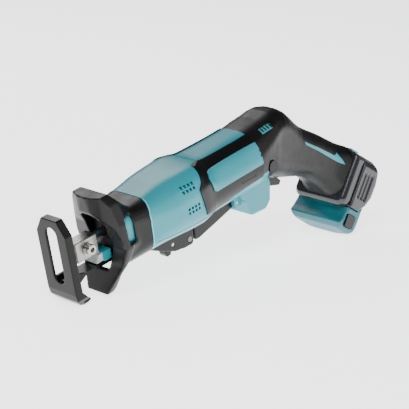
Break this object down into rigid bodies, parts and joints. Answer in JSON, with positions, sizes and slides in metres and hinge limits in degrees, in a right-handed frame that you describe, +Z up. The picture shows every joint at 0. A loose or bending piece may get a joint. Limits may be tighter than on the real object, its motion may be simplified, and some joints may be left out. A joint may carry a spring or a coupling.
{
  "type": "reciprocating saw",
  "caption": "Compact cordless reciprocating saw with a shoe, a blade clamp on a crank-driven slider, a squeeze paddle, a rear trigger grip and a slide-on battery.",
  "frame": {"origin": "centre of the bounding box on the floor, tool standing on its shoe and battery", "axes": "+X from the shoe to the rear, +Y to the tool's right side, +Z up"},
  "size_m": [0.3642, 0.066, 0.1242],
  "materials": {
    "teal_shell": "fine-grained moulded plastic",
    "rubber": "soft grip rubber",
    "black_plastic": "black moulded plastic",
    "grey_plastic": "dark grey semi-gloss plastic",
    "black_paint": "glossy black powder coat",
    "steel": "machined steel",
    "alloy": "die-cast",
    "gear_steel": "hardened steel",
    "lens": "frosted clear",
    "board": "circuit board",
    "cell_wrap": "shrink sleeve",
    "bronze": "sintered bronze"
  },
  "bodies": {
    "tool": {"battery_foot": "grey_plastic", "bearings": "gear_steel", "controller_board": "board", "dust_seal": "rubber", "front_boot": "rubber", "gear_housing": "alloy", "grip_cover_left": "rubber", "grip_cover_right": "rubber", "guard_screw": "steel", "handle_inlay_left": "teal_shell", "handle_inlay_right": "teal_shell", "housing_left": "teal_shell", "housing_right": "teal_shell", "housing_screws": "steel", "led_holder": "teal_shell", "led_lens": "lens", "lever_guard": "black_plastic", "motor_can": "steel", "motor_cap": "black_plastic", "motor_magnets": "gear_steel", "paddle_pin": "steel", "paddle_spring": "steel", "shoe": "black_paint", "shoe_arm": "black_paint", "shoe_screws": "steel", "side_badge_left": "teal_shell", "side_badge_right": "teal_shell", "side_band_left": "black_plastic", "side_band_right": "black_plastic", "slider_bushes": "bronze", "switch_body": "black_plastic", "tab_pin": "steel", "terminal_block": "black_plastic", "trigger_pin": "steel", "trigger_spring": "steel"},
    "blade_slide": {"blade_slider": "steel", "blade_clamp": "steel"},
    "clamp_screw": {"clamp_bolt": "steel"},
    "crank": {"crank_gear": "gear_steel"},
    "rotor": {"rotor": "gear_steel", "pinion": "gear_steel", "cooling_fan": "black_plastic"},
    "safety_tab": {"lock_off_tab": "black_plastic"},
    "paddle": {"paddle": "black_plastic"},
    "trigger": {"trigger": "black_plastic"},
    "cross_button": {"lock_off_button": "black_plastic"},
    "battery": {"battery_case": "grey_plastic", "battery_front": "teal_shell", "battery_cells": "cell_wrap", "battery_tail": "teal_shell"},
    "latch_left": {"battery_button_left": "black_plastic"},
    "latch_right": {"battery_button_right": "black_plastic"}
  },
  "joints": [
    {"name": "blade_stroke", "type": "slide", "parent": "tool", "child": "blade_slide", "axis": [0.9709, 0, 0.2395], "range_m": [-0.0065, 0.0065]},
    {"name": "clamp_screw_turn", "type": "hinge", "parent": "blade_slide", "child": "clamp_screw", "pos_m": [-0.1491, -0.012, 0.04262], "axis": [0, -1, 0], "continuous": true},
    {"name": "crank_spin", "type": "hinge", "parent": "tool", "child": "crank", "pos_m": [-0.07091, 0, 0.06973], "axis": [-0.2395, 0, 0.9709], "continuous": true},
    {"name": "rotor_spin", "type": "hinge", "parent": "tool", "child": "rotor", "pos_m": [-0.01894, 0, 0.07617], "axis": [0.9709, 0, 0.2395], "continuous": true},
    {"name": "paddle_squeeze", "type": "hinge", "parent": "tool", "child": "paddle", "pos_m": [0.01135, 0, 0.0515], "axis": [0, 1, 0], "range_deg": [0, 5], "stiffness_Nm_per_rad": 1.5, "deforming": ["paddle_spring"]},
    {"name": "safety_tab_push", "type": "hinge", "parent": "tool", "child": "safety_tab", "pos_m": [-0.05974, 0, 0.02861], "axis": [0, 1, 0], "range_deg": [0, 8], "stiffness_Nm_per_rad": 0.2},
    {"name": "trigger_pull", "type": "hinge", "parent": "tool", "child": "trigger", "pos_m": [0.04638, 0, 0.07024], "axis": [0, -1, 0], "range_deg": [0, 6], "stiffness_Nm_per_rad": 0.8, "deforming": ["trigger_spring"]},
    {"name": "cross_button_push", "type": "slide", "parent": "tool", "child": "cross_button", "axis": [0, 1, 0], "range_m": [-0.0015, 0.0015]},
    {"name": "battery_slide", "type": "slide", "parent": "tool", "child": "battery", "axis": [-0.4562, 0, -0.8899], "range_m": [0, 0.07]},
    {"name": "latch_left_press", "type": "slide", "parent": "battery", "child": "latch_left", "axis": [0, 1, 0], "range_m": [0, 0.0011], "stiffness_N_per_m": 3000},
    {"name": "latch_right_press", "type": "slide", "parent": "battery", "child": "latch_right", "axis": [0, -1, 0], "range_m": [0, 0.0011], "stiffness_N_per_m": 3000}
  ],
  "couplings": [
    {"joint": "rotor_spin", "follows": "crank_spin", "ratio": -3.4}
  ]
}
